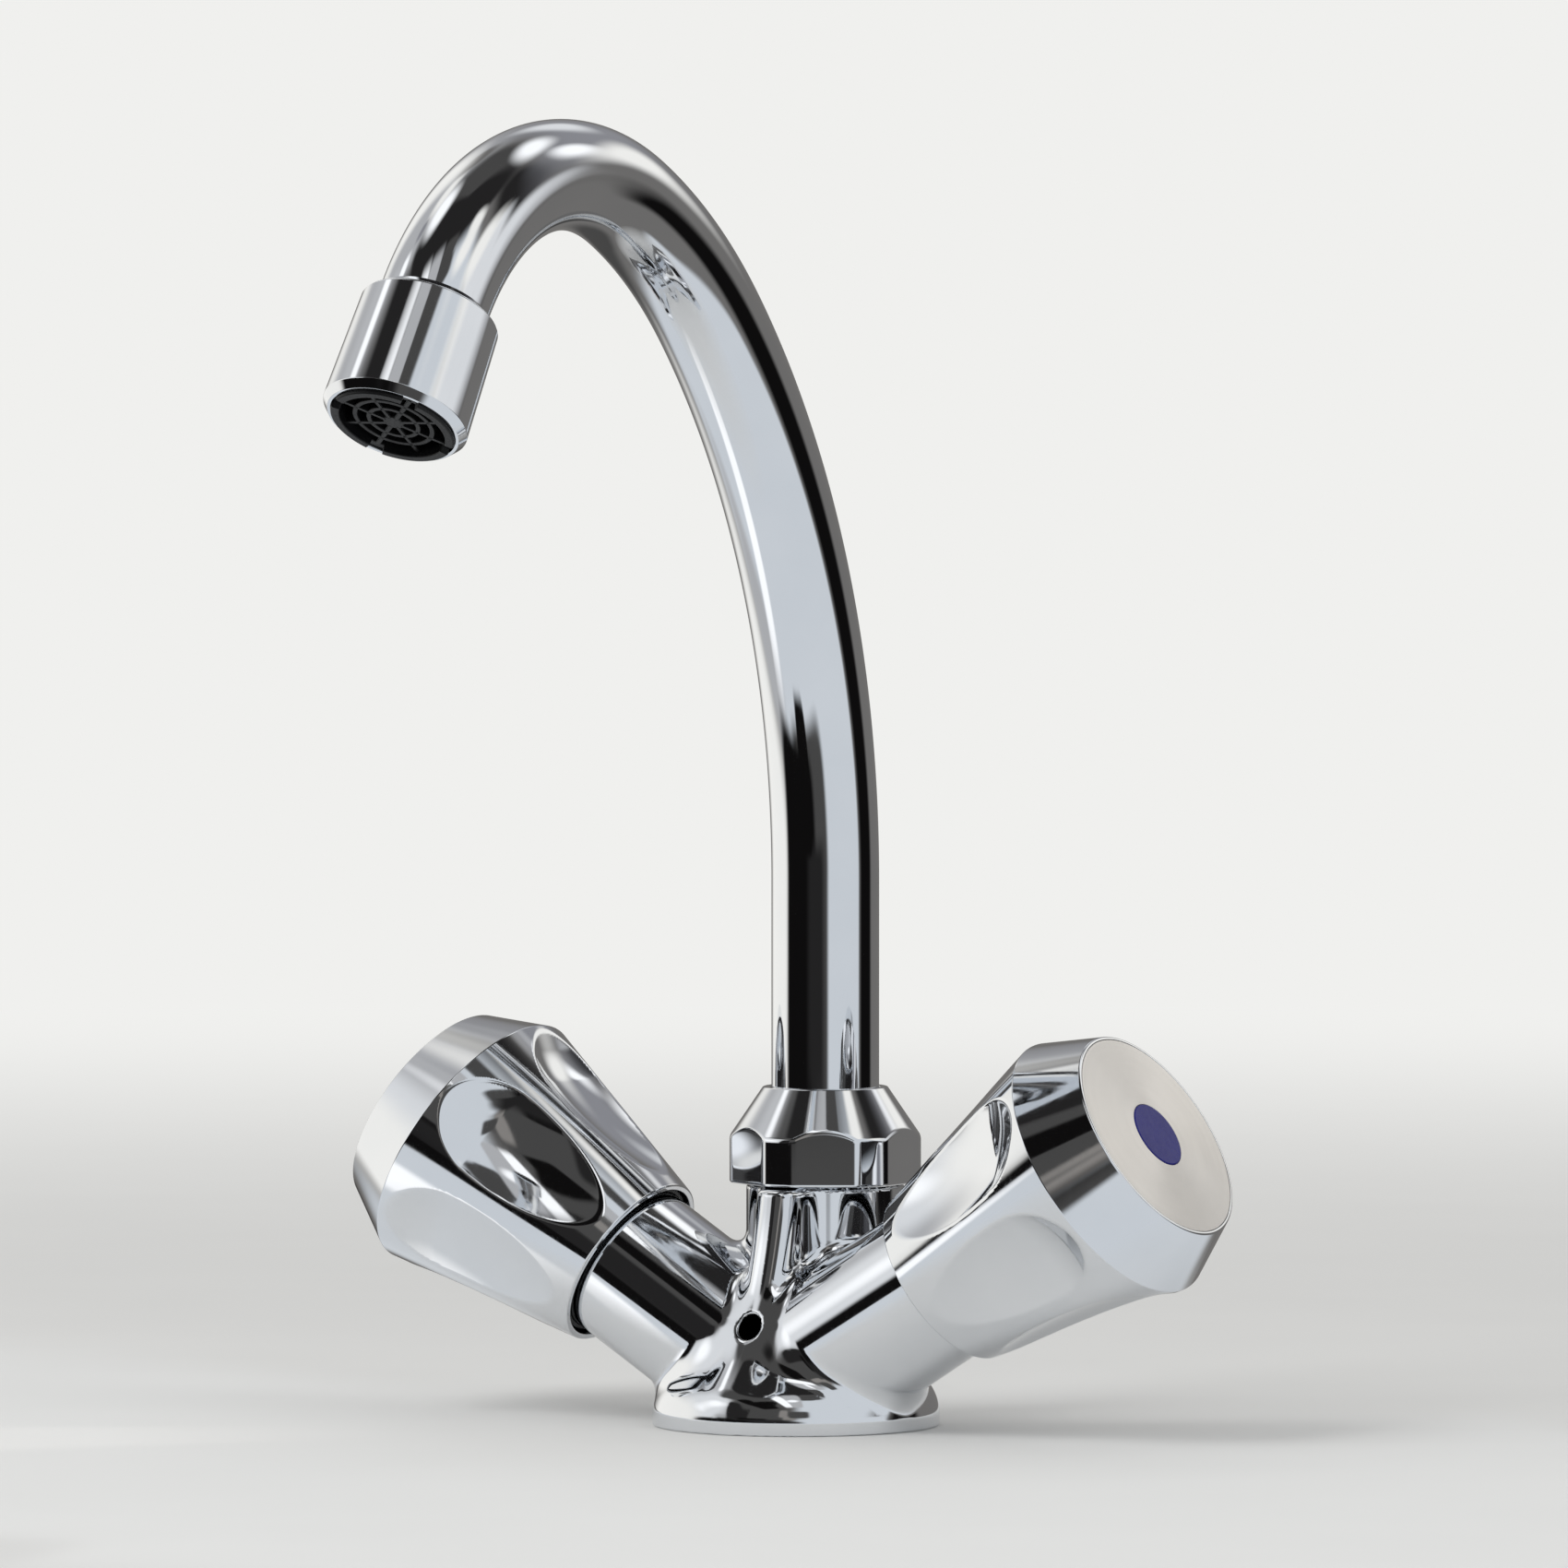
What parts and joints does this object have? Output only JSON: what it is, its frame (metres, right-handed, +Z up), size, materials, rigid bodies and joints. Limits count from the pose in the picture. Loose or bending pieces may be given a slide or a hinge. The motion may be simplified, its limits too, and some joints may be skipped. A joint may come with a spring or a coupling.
{
  "type": "basin tap",
  "caption": "Basin mixer tap with a swivelling bent spout, fluted hot and cold handles on slanted arms, and a round foot.",
  "frame": {"origin": "centre of the foot's flat underside, where it meets the basin", "axes": "+Z up, -Y to the front where the spout points at rest, +X to the right (cold side)"},
  "size_m": [0.1602, 0.1607, 0.2171],
  "materials": {
    "chrome": "polished chrome plate",
    "satin_cap": "satin metallised plastic",
    "index_blue": "glossy moulded",
    "index_red": "glossy moulded",
    "black_plastic": "moulded",
    "white_plastic": "moulded",
    "seal_rubber": "moulded",
    "brass": "machined",
    "steel": "bright",
    "disc_ceramic": "lapped"
  },
  "bodies": {
    "mixer": {"mixer_body": "chrome", "base_seal": "seal_rubber", "spout_nut": "chrome", "slip_ring": "white_plastic", "hot_headwork_housing": "brass", "hot_housing_seal_ring": "seal_rubber", "hot_seat_seal": "seal_rubber", "hot_fixed_disc": "disc_ceramic", "hot_guide_ring": "black_plastic", "cold_headwork_housing": "brass", "cold_housing_seal_ring": "seal_rubber", "cold_seat_seal": "seal_rubber", "cold_fixed_disc": "disc_ceramic", "cold_guide_ring": "black_plastic"},
    "spout": {"spout_tube": "chrome", "spout_collar": "brass", "spout_seal_rings": "seal_rubber", "outlet_bush": "chrome", "aerator_shell": "chrome", "aerator_gasket": "seal_rubber", "aerator_insert": "black_plastic", "aerator_screen": "steel"},
    "hot_handle": {"hot_handle": "chrome", "hot_spline_insert": "white_plastic", "hot_handle_screw": "steel", "hot_end_cap": "satin_cap", "hot_index_button": "index_red", "hot_spindle": "brass", "hot_rotating_disc": "disc_ceramic", "hot_spindle_seal_rings": "seal_rubber", "hot_spindle_clip": "steel"},
    "cold_handle": {"cold_handle": "chrome", "cold_spline_insert": "white_plastic", "cold_handle_screw": "steel", "cold_end_cap": "satin_cap", "cold_index_button": "index_blue", "cold_spindle": "brass", "cold_rotating_disc": "disc_ceramic", "cold_spindle_seal_rings": "seal_rubber", "cold_spindle_clip": "steel"}
  },
  "joints": [
    {"name": "spout_swivel", "type": "hinge", "parent": "mixer", "child": "spout", "pos_m": [0, 0.0096, 0.045], "axis": [0, 0, 1], "continuous": true},
    {"name": "hot_handle_turn", "type": "hinge", "parent": "mixer", "child": "hot_handle", "pos_m": [-0.0424, -0.0028, 0.0335], "axis": [-0.848, 0, 0.5299], "range_deg": [0, 180]},
    {"name": "cold_handle_turn", "type": "hinge", "parent": "mixer", "child": "cold_handle", "pos_m": [0.0424, -0.0028, 0.0335], "axis": [0.848, 0, 0.5299], "range_deg": [0, 180]}
  ]
}
